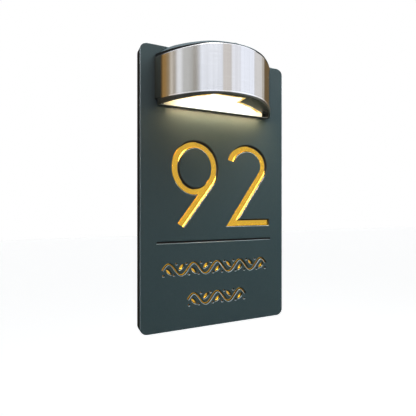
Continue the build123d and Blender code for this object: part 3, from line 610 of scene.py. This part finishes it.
def leaf_loops(x, z, half_length, half_width, lean, turns=8):
    """Rings of a pointed pocket, from above the face down to its floor."""
    radius = (half_length ** 2 + half_width ** 2) / (2 * half_width)
    offset = radius - half_width
    profile = [(-EDGE_ROUND, -CUTTER_PROUD), (-EDGE_ROUND, 0.0), (0.0, EDGE_ROUND)]
    fillet = min(VINE_FILLET, 0.6 * half_width)
    for step in range(5):
        turn = pi / 2 * step / 4
        profile.append((fillet * (1 - cos(turn)), VINE_DEPTH - fillet * (1 - sin(turn))))
    rings = []
    for inset, depth in profile:
        reach = radius - inset
        open_angle = acos(offset / reach)
        outline = []
        for side in (1, -1):
            for step in range(turns):
                turn = open_angle * (2 * step / turns - 1)
                outline.append((side * (reach * cos(turn) - offset), side * reach * sin(turn)))
        rings.append([(x + u * cos(lean) - v * sin(lean), FRONT_Y + depth,
                       z + u * sin(lean) + v * cos(lean)) for u, v in outline])
    return rings


def leaf_cutter(leaves):
    """One cutter with all the leaf pockets, which lie clear of each other."""
    verts, faces = [], []
    for leaf in leaves:
        leaf_verts, leaf_faces = loft(leaf_loops(*leaf), False)
        faces += [tuple(index + len(verts) for index in face) for face in leaf_faces]
        verts += leaf_verts
    return new_object("leaves", verts, faces)


def cut_recesses(target):
    """Cuts the numerals, the rule and two leafy vines into the panel."""
    digits = numeral_nine() + numeral_two()
    rule = [(-RULE_LENGTH / 2, RULE_Z), (RULE_LENGTH / 2, RULE_Z)]
    digit_cutters = [stroke(name, path, DIGIT_STROKE, DIGIT_DEPTH, DIGIT_FILLET, closed)
                     for name, path, closed in digits]
    apply_boolean(digit_cutters[0], digit_cutters.pop(1), "UNION")
    cutters = [stroke("stem", vine_stem(*row), VINE_STROKE, VINE_DEPTH, VINE_FILLET) for row in VINE_ROWS]
    cutters += [leaf_cutter(vine_leaves(*row)) for row in VINE_ROWS]
    cutters.append(stroke("rule", rule, RULE_STROKE, VINE_DEPTH, VINE_FILLET))
    for cutter in digit_cutters + cutters:
        apply_boolean(target, cutter, "DIFFERENCE")


def rounded_rectangle(width, height, corner, turns=10):
    """Corner points of a rounded rectangle about the origin, as (x, z)."""
    points = []
    for quarter in range(4):
        start = quarter * pi / 2
        side_x = 1 if quarter in (0, 3) else -1
        side_z = 1 if quarter in (0, 1) else -1
        centre = (side_x * (width / 2 - corner), side_z * (height / 2 - corner))
        points += arc_points(centre, (corner, corner), start, start + pi / 2, turns)
    return points


def panel_slot(polygon, size):
    """Which of the plate's materials a face takes, from its place and the way that it turns."""
    x, y, z = polygon.center
    normal = polygon.normal
    depth = y - FRONT_Y
    # Painted highlight: the plate's front bevel takes the pale arris all round; its sides keep the dark
    # cut edge
    if abs(x) >= size.x / 2 - PLATE_BEVEL or abs(z) >= size.z / 2 - PLATE_BEVEL:
        return CUT if normal.y > -0.3 else HIGHLIGHT_ARRIS if normal.y > -0.95 else FACE
    # Painted highlight: lips of the recesses that face up take the pale arris
    if depth < 1.01 * EDGE_ROUND:
        return HIGHLIGHT_ARRIS if normal.z > 0.35 else FACE
    # Painted shade: sides that face left or down take the dark cut material, also where the gold would be
    if y > PANEL_BACK_Y - 0.01 * MM or -PAINTED_SHADE_LEFT * normal.x - PAINTED_SHADE_DOWN * normal.z > PAINTED_SHADE_LIMIT:
        return CUT
    if z > RULE_Z + RULE_ZONE:
        return GOLD if depth > DIGIT_DEPTH - DIGIT_FILLET else CUT
    if z > RULE_Z - RULE_ZONE:
        return CUT
    return GOLD if depth > VINE_DEPTH - VINE_FILLET else CUT


def front_panel():
    """Front sheet of the plate with its recesses: face, dark cut walls and gold floors."""
    size = panel_high - panel_low
    rings = []
    for y, inset in ((PANEL_BACK_Y, 0.0), (FRONT_Y + PLATE_BEVEL, 0.0),
                     (FRONT_Y + BEVEL_BREAK, BEVEL_BREAK), (FRONT_Y, PLATE_BEVEL)):
        outline = rounded_rectangle(size.x - 2 * inset, size.z - 2 * inset, PLATE_CORNER - inset)
        rings.append([(x, y, z) for x, z in outline])
    made = new_object("front_panel_routed", *loft(rings, False))
    cut_recesses(made)
    made.data.materials.clear()
    for material in (face, cut_edge, gold, arris_highlight):
        made.data.materials.append(material)
    for polygon in made.data.polygons:
        polygon.material_index = panel_slot(polygon, size)
    smooth_by_angle(made)
    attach(made, "sign")
    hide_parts("front_panel")
    return made


# ------------------------------------------------------------------- the lamp

join_x = NOSE_RADIUS * sin(NOSE_HALF_ANGLE)
join_out = LAMP_DEPTH - NOSE_RADIUS + NOSE_RADIUS * cos(NOSE_HALF_ANGLE)
chord = (LAMP_HALF_WIDTH - join_x, -join_out)
chord_along = chord[0] * sin(NOSE_HALF_ANGLE) + chord[1] * cos(NOSE_HALF_ANGLE)
SIDE_RADIUS = -(chord[0] ** 2 + chord[1] ** 2) / (2 * chord_along)
SIDE_CENTRE = (join_x - SIDE_RADIUS * sin(NOSE_HALF_ANGLE),
               join_out - SIDE_RADIUS * cos(NOSE_HALF_ANGLE))


def moon_line(inset, back, nose_steps=64, side_steps=16):
    """Plan of the lamp pulled in by inset, as (x, y) from the left back corner round to the right."""
    side = SIDE_RADIUS - inset
    nose = NOSE_RADIUS - inset
    end = acos((back - SIDE_CENTRE[1]) / side)
    half = []
    for step in range(nose_steps // 2 + 1):
        turn = NOSE_HALF_ANGLE * step / (nose_steps // 2)
        half.append((nose * sin(turn), LAMP_DEPTH - NOSE_RADIUS + nose * cos(turn)))
    for step in range(1, side_steps + 1):
        turn = NOSE_HALF_ANGLE + (end - NOSE_HALF_ANGLE) * step / side_steps
        half.append((SIDE_CENTRE[0] + side * sin(turn), SIDE_CENTRE[1] + side * cos(turn)))
    whole = [(-x, out) for x, out in reversed(half[1:])] + half
    return [(LAMP_X + x, FRONT_Y - out) for x, out in whole]


def sweep_moon(name, profile, back, materials):
    """Piece whose section, a closed loop of (inset, z), follows the lamp's plan."""
    lines = [moon_line(inset, back) for inset, z in profile]
    rings = []
    for i in range(len(lines[0])):
        rings.append([(line[i][0], line[i][1], z) for line, (inset, z) in zip(lines, profile)])
    return new_object(name, *loft(rings, False), materials)


def steel_strip():
    """Brushed strip round the lamp, with softly broken edges and a map that runs along it."""
    low, high = band_low.z, band_high.z - BAND_DROP
    section = [(0.0, low + LOW_BEVEL[1]), (LOW_BEVEL[0], low), (BAND_T, low), (BAND_T, high),
               (TOP_BEVEL[0], high), (0.0, high - TOP_BEVEL[1])]
    made = sweep_moon("steel_band_brushed", section, PAD_T, [steel, polished_edge_highlight, lid_plastic])
    middle_z = (band_low.z + band_high.z) / 2
    for vertex in made.data.vertices:
        if vertex.co.z > middle_z:
            out = FRONT_Y - vertex.co.y
            aside = min(1.0, max(0.0, (vertex.co.x - LAMP_X - DIP_FROM) / DIP_RUN))
            vertex.co.z -= BAND_RISE * (1 - out / LAMP_DEPTH) + DIP * aside
    for polygon in made.data.polygons:
        along = polygon.center.x - LAMP_X
        # Polished bevels, also a painted highlight: brighter metal from a given place on, so the left end
        # has no light line
        polished_highlight = 0.2 < abs(polygon.normal.z) < 0.9 and along > POLISHED_HIGHLIGHT_FROM
        # Painted shade: right of a given place the upper bevel takes the lid moulding's near-black tone,
        # drawn on the steel for the lid's edge and the gap under it
        painted_lid_line = polygon.normal.z > 0.2 and along > PAINTED_LID_LINE_FROM
        polygon.material_index = 2 if painted_lid_line else 1 if polished_highlight else 0
    smooth_by_angle(made, radians(15))
    layer = made.data.uv_layers.new(name="along")
    line = moon_line(0.0, PAD_T)
    reach = [0.0]
    for first, second in zip(line, line[1:]):
        reach.append(reach[-1] + hypot(second[0] - first[0], second[1] - first[1]))
    per_ring = len(section)
    for loop in made.data.loops:
        ring = loop.vertex_index // per_ring
        height = made.data.vertices[loop.vertex_index].co.z
        layer.data[loop.index].uv = (reach[ring], height)
    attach(made, "sign")
    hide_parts("steel_band")


def corner_curve(first, middle, last, turns=5):
    """Points of a curve from first to last that is drawn towards middle, both ends included."""
    points = []
    for step in range(turns + 1):
        t = step / turns
        points.append(tuple(first * (1 - t) ** 2 + middle * 2 * t * (1 - t) + last * t ** 2))
    return points


def moon_loop(inset, back, corner):
    """Closed outline (x, y) of the lamp pulled in by inset, with rounded back corners."""
    line = moon_line(inset, back + corner)
    tips = moon_line(inset, back)
    left, right = Vector(tips[0]), Vector(tips[-1])
    inward = Vector((corner, 0))
    right_corner = corner_curve(Vector(line[-1]), right, right - inward)
    left_corner = corner_curve(left + inward, left, Vector(line[0]))
    return line + right_corner[1:] + left_corner[:-1]


def prism(name, outline, low, high):
    """Upright prism over an outline of (x, y) points."""
    rings = [[(x, y, z) for x, y in outline] for z in (low, high)]
    return new_object(name, *loft(rings, False))


def window_prism(grow, low, high):
    """Prism over the light window, grown outwards.

    The outline follows the rim on the left, runs out to a square tab at the nose and falls back in a
    flat arch on the right.
    """
    back, front = BAR_OUT - grow, TAB_OUT + grow
    left, right = TAB_LEFT - grow, TAB_RIGHT + grow
    outline = [(x, y) for x, y in moon_line(WINDOW_INSET - grow, back) if x < left - 1 * MM]
    outline += [(left, FRONT_Y - front), (right, FRONT_Y - front)]
    end = ARCH_WIDTH * (1 - BAR_OUT / ARCH_OUT) ** (1 / ARCH_POWER)
    for step in range(ARCH_STEPS + 1):
        x = right + (end + grow - right) * step / ARCH_STEPS
        out = ARCH_OUT * (1 - (max(0.0, x - grow) / ARCH_WIDTH) ** ARCH_POWER) + grow
        outline.append((x, FRONT_Y - max(out, back)))
    return prism("window", outline, low, high)


def bezel():
    """Bezel: a rim that thins towards the nose, a rounded rear bar and a flange round the window."""
    inner = RIM_INSET + RIM_WIDTH
    # Rings of (inset, rear edge, level), where a number is a height over the rim's sagging underside
    profile = [(RIM_INSET, PAD_T, "top"), (RIM_INSET, PAD_T, 2.1 * MM),
               (RIM_INSET + GROOVE, PAD_T, 2.0 * MM), (RIM_INSET + GROOVE, PAD_T, 1.5 * MM),
               (RIM_INSET, PAD_T, 1.4 * MM), (RIM_INSET, PAD_T, 0.7 * MM),
               (RIM_INSET + 0.2 * MM, PAD_T + 0.2 * MM, 0.2 * MM),
               (RIM_INSET + 0.7 * MM, PAD_T + 0.7 * MM, 0.0),
               (inner - 0.6 * MM, BAR_OUT - 1.6 * MM, 0.0),
               (inner - 0.2 * MM, BAR_OUT - 0.5 * MM, 0.3 * MM),
               (inner, BAR_OUT, 0.9 * MM), (inner, BAR_OUT, 1.5 * MM), (inner, BAR_OUT, "flange")]
    level_z = {"top": bezel_high.z, "flange": FLANGE_Z}
    rings = []
    for inset, back, level in profile:
        ring = []
        for x, y in moon_loop(inset, back, RIM_CORNER - (inset - RIM_INSET)):
            share = (FRONT_Y - y) / LAMP_DEPTH
            if level in level_z:
                z = level_z[level]
            else:
                underside = bezel_low.z + RIM_RISE * share - RIM_SAG * (1 - share)
                z = min(underside + level, FLANGE_Z - 0.1 * MM)
            ring.append((x, y, z))
        rings.append(ring)
    made = new_object("lower_bezel_moulded", *loft(rings, False), [bezel_plastic, bezel_rib_painted_highlight])
    # The upright band just above the rim's inner edge takes a pale material: a painted highlight along
    # the rounded rib
    count, rib_span = len(rings[0]), len(profile) - 3
    for index, polygon in enumerate(made.data.polygons):
        polygon.material_index = 1 if index // count == rib_span else 0
    apply_boolean(made, window_prism(0.0, FLANGE_Z - 1 * MM, bezel_high.z + 1 * MM), "DIFFERENCE")
    smooth_by_angle(made, radians(40))
    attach(made, "sign")
    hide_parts("lower_bezel")


def opal_window():
    """Opal window in the flange: a lit face inside a narrow amber edge."""
    made = window_prism(-OPAL_SLIP, OPAL_Z, bezel_high.z - 0.1 * MM)
    made.name = "diffuser_lit"
    face_plate = window_prism(-LIT_INSET, OPAL_Z - LIT_STEP, bezel_high.z - 0.3 * MM)
    lip_y = FRONT_Y - BAR_OUT
    lip = prism("lip", [(LIP_LEFT, lip_y), (LIP_RIGHT, lip_y), (LIP_RIGHT, lip_y - LIP_T),
                        (LIP_LEFT, lip_y - LIP_T)], LIP_Z, FLANGE_Z + 1 * MM)
    apply_boolean(made, face_plate, "UNION")
    apply_boolean(made, lip, "UNION")
    made.data.materials.clear()
    made.data.materials.append(opal)
    made.data.materials.append(opal_edge)
    for polygon in made.data.polygons:
        lit = polygon.normal.z < -0.5 and polygon.center.z < OPAL_Z - LIT_STEP / 2
        on_lip = polygon.normal.y < -0.5 and polygon.center.y > lip_y - 1 * MM
        polygon.material_index = 0 if lit or on_lip or polygon.normal.z > 0.5 else 1
    smooth_by_angle(made, radians(30))
    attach(made, "sign")
    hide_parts("diffuser")


def bezel_screw(index, x, y):
    """Low pan-head screw under the flange, with a cross recess."""
    radius, height, turns = HEAD_RADIUS, HEAD_HEIGHT, 32
    profile = [(1.5 * MM, 0.8 * MM), (1.5 * MM, 0.0), (radius, 0.0), (radius, -0.4 * height),
               (0.93 * radius, -0.75 * height), (0.72 * radius, -0.95 * height), (0.4 * radius, -height)]
    circle = [(cos(tau * k / turns), sin(tau * k / turns)) for k in range(turns)]
    rings = [[(x + r * u, y + r * v, FLANGE_Z + z) for u, v in circle] for r, z in profile]
    made = new_object(f"bezel_screw_{index}", *loft(rings, False), [blackened])
    low, floor_z = FLANGE_Z - height - 1 * MM, FLANGE_Z - height + CROSS_DEPTH
    for reach_x, reach_y in ((CROSS_ARM, CROSS_SLOT), (CROSS_SLOT, CROSS_ARM)):
        outline = [(x - reach_x, y - reach_y), (x + reach_x, y - reach_y),
                   (x + reach_x, y + reach_y), (x - reach_x, y + reach_y)]
        apply_boolean(made, prism("cross", outline, low, floor_z), "DIFFERENCE")
    smooth_by_angle(made, radians(40))
    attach(made, "sign")
    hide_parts("bezel_screws")


def bezel_screws():
    """Three screws at the places that the frame gives them."""
    side_y = screws_high.y - HEAD_RADIUS
    places = [(screws_low.x + HEAD_RADIUS, side_y), (screws_high.x - HEAD_RADIUS, side_y),
              (LAMP_X, screws_low.y + HEAD_RADIUS)]
    for index, (x, y) in enumerate(places):
        bezel_screw(index, x, y)


panel = front_panel()
steel_strip()
bezel()
opal_window()
bezel_screws()

# --------------------------------------------------------------- floor, lights

FLOOR_Z = -0.42
FLOOR_REACH = 6.0
FLOOR_GLOW = 0.74
floor_corners = [(side_x * FLOOR_REACH, side_y * FLOOR_REACH, FLOOR_Z)
                 for side_x, side_y in ((-1, -1), (1, -1), (1, 1), (-1, 1))]
floor = new_object("studio_floor", floor_corners, [(0, 1, 2, 3)])
floor_paint, tree, shader = new_material("studio_floor")
grain = noise(tree, place(tree), 60.0, 3.0)
tree.links.new(blend_colours(tree, grain, (0.88, 0.88, 0.88), (0.91, 0.91, 0.91)),
               shader.inputs["Base Color"])
shader.inputs["Roughness"].default_value = 0.9
paths = put(tree, "LightPath")
shader.inputs["Emission Color"].default_value = (1, 1, 1, 1)
tree.links.new(stretch(tree, paths.outputs["Is Camera Ray"], 0, FLOOR_GLOW),
               shader.inputs["Emission Strength"])
floor.data.materials.append(floor_paint)
floor.visible_glossy = False

# What glossy surfaces mirror: bands of light round the horizon as (from, to, colour), in degrees round
# from straight in front of the sign, right positive, and one bright patch high up on the left
BANDS = [
    (-180, -124.5, (0.022, 0.027, 0.020)), (-123.0, -118.5, (0.46, 0.26, 0.08)),
    (-117.0, -113.4, (0.36, 0.26, 0.14)), (-112.6, -111.3, (1.25, 1.19, 1.09)),
    (-110.6, -107.6, (0.40, 0.34, 0.26)), (-105.8, -102.4, (1.24, 1.26, 1.31)),
    (-100.4, -91.4, (0.66, 0.66, 0.64)), (-90.2, -87.0, (0.40, 0.37, 0.32)),
    (-84.8, -24.0, (1.06, 1.10, 1.20)), (-21.0, -2.0, (0.90, 0.85, 0.81)),
    (2.0, 22.0, (1.14, 1.16, 1.24)), (26.0, 66.0, (1.24, 1.29, 1.42)),
    (70.0, 100.0, (0.95, 0.93, 0.92)), (104.0, 116.0, (0.66, 0.61, 0.54)),
    (121.0, 180.0, (0.19, 0.13, 0.065)),
]
SKY_LIGHT = (1.3, 1.32, 1.38)
GROUND_LIGHT = (0.06, 0.07, 0.07)
PATCH_LIGHT = (4.5, 4.5, 4.3)
SOFT_LIGHT = (0.93, 0.97, 1.0, 1)


def studio_world():
    """White for the camera, an even grey for soft light and, for gloss, bands of light."""
    world = bpy.data.worlds.new("studio")
    bpy.context.scene.world = world
    world.use_nodes = True
    tree = world.node_tree
    tree.nodes.clear()
    out = put(tree, "OutputWorld")
    coords = put(tree, "TexCoord")
    split = put(tree, "SeparateXYZ", links={"Vector": coords.outputs["Generated"]})
    forward = put(tree, "Math", {1: -1.0}, {0: split.outputs["Y"]}, operation="MULTIPLY")
    round_angle = put(tree, "Math", links={0: split.outputs["X"], 1: forward.outputs["Value"]},
                      operation="ARCTAN2")
    share = put(tree, "MapRange", {"From Min": -pi, "From Max": pi},
                {"Value": round_angle.outputs["Value"]})
    strips = [(edge, colour) for start, end, colour in BANDS for edge in (start, end)]
    horizon = ramp(tree, share.outputs["Result"], [((a + 180) / 360, c) for a, c in strips])
    folds = put(tree, "TexNoise", {"Scale": 14.0, "Detail": 2.0}, {"W": round_angle.outputs["Value"]},
                noise_dimensions="1D")
    creases = put(tree, "MapRange", {"From Min": 0.3, "From Max": 0.7, "To Min": 0.86, "To Max": 1.1},
                  {"Value": folds.outputs["Fac"]})
    horizon = blend_colours(tree, 1.0, horizon, creases.outputs["Result"], "MULTIPLY")
    high = put(tree, "MapRange", {"From Min": 0.45, "From Max": 0.8}, {"Value": split.outputs["Z"]},
               interpolation_type="SMOOTHSTEP")
    low = put(tree, "MapRange", {"From Min": -0.6, "From Max": -0.9}, {"Value": split.outputs["Z"]},
              interpolation_type="SMOOTHSTEP")
    gloss = blend_colours(tree, high.outputs["Result"], horizon, SKY_LIGHT)
    gloss = blend_colours(tree, low.outputs["Result"], gloss, GROUND_LIGHT)
    # The patch gives the gold its highlights and the cut edges their light lines
    rise = ramp(tree, split.outputs["Z"], [(0.50, 0.0), (0.62, 1.0), (0.88, 1.0), (0.95, 0.0)])
    turn = ramp(tree, share.outputs["Result"], [(0.18, 0.0), (0.22, 1.0), (0.40, 1.0), (0.44, 0.0)])
    patch = put(tree, "Math", links={0: rise, 1: turn}, operation="MULTIPLY")
    gloss = blend_colours(tree, patch.outputs["Value"], gloss, PATCH_LIGHT)
    paths = put(tree, "LightPath")
    soft = put(tree, "Background", {"Color": SOFT_LIGHT, "Strength": 0.2})
    white = put(tree, "Background", {"Color": (1, 1, 1, 1), "Strength": 1.0})
    studio = put(tree, "Background", {"Strength": 1.0}, {"Color": gloss})
    with_gloss = put(tree, "MixShader", links={0: paths.outputs["Is Glossy Ray"], 1: soft.outputs[0],
                                               2: studio.outputs[0]})
    clear = put(tree, "Math", operation="MAXIMUM",
                links={0: paths.outputs["Is Camera Ray"], 1: paths.outputs["Is Transmission Ray"]})
    whole = put(tree, "MixShader", links={0: clear.outputs["Value"], 1: with_gloss.outputs[0],
                                          2: white.outputs[0]})
    tree.links.new(whole.outputs[0], out.inputs["Surface"])


def softbox(name, spot, aim, size, power, colour=(1, 1, 1)):
    """Square area light at a spot, turned to an aim. Glossy surfaces don't show it."""
    data = bpy.data.lights.new(name, "AREA")
    data.size = size
    data.energy = power
    data.color = colour
    made = bpy.data.objects.new(name, data)
    made.location = spot
    made.rotation_euler = (Vector(aim) - Vector(spot)).to_track_quat("-Z", "Y").to_euler()
    made.visible_glossy = False
    bpy.context.scene.collection.objects.link(made)
    return made


def spark(spot, size, power, receiver):
    """Square light that only shows in the gloss of one piece: the streaks in the painted numerals."""
    made = softbox("spark", spot, (0, FRONT_Y, 0), size, power)
    made.visible_glossy = True
    made.visible_diffuse = False
    made.visible_camera = False
    only = bpy.data.collections.new("spark_receivers")
    only.objects.link(receiver)
    made.light_linking.receiver_collection = only


GLOW_WIDTH, GLOW_DROP = 100 * MM, 1.6 * MM
GLOW_COLOUR = (1.0, 0.62, 0.34)


def lamp_glow(name, out, depth, power):
    """Part of the window's own light, as a plain panel just below it that the camera doesn't see."""
    data = bpy.data.lights.new(name, "AREA")
    data.shape = "RECTANGLE"
    data.size, data.size_y = GLOW_WIDTH, depth
    data.energy = power
    data.color = GLOW_COLOUR
    made = bpy.data.objects.new(name, data)
    made.location = (LAMP_X, FRONT_Y - out, bezel_low.z - GLOW_DROP)
    made.visible_camera = False
    bpy.context.scene.collection.objects.link(made)


studio_world()
lamp_glow("glow_wide", 30 * MM, 34 * MM, 0.02)
lamp_glow("glow_near", 7.5 * MM, 4 * MM, 0.145)
softbox("key_above", (0.2, -0.28, 0.38), (0, 0, 0.05), 0.3, 3.9, (0.97, 0.99, 1.0))
softbox("fill_right", (0.8, -0.9, 0.2), (0, 0, 0), 0.8, 0.6, (0.95, 0.98, 1.0))
spark((-0.45, FRONT_Y - 0.65, 0.58), 0.58, 24, panel)

# ---------------------------------------------------------------------- camera

# The photograph's frame is 416 pixels square. The camera stands level, left of the sign.
FRAME_PX = 416
FOCAL_PX = 412.8
CENTRE_PX = 329.8
CAMERA_SPOT = (-0.1466, FRONT_Y - 0.4568, -0.0195)
CAMERA_HEADING = radians(-33)
camera_data = bpy.data.cameras.new("camera")
camera_data.lens = FOCAL_PX / FRAME_PX * camera_data.sensor_width
camera_data.shift_x = (FRAME_PX / 2 - CENTRE_PX) / FRAME_PX
camera_data.clip_start = 0.01
camera = bpy.data.objects.new("camera", camera_data)
camera.location = CAMERA_SPOT
camera.rotation_euler = (radians(90), 0, CAMERA_HEADING)
bpy.context.scene.collection.objects.link(camera)
bpy.context.scene.camera = camera
bpy.context.scene.view_settings.view_transform = "Standard"
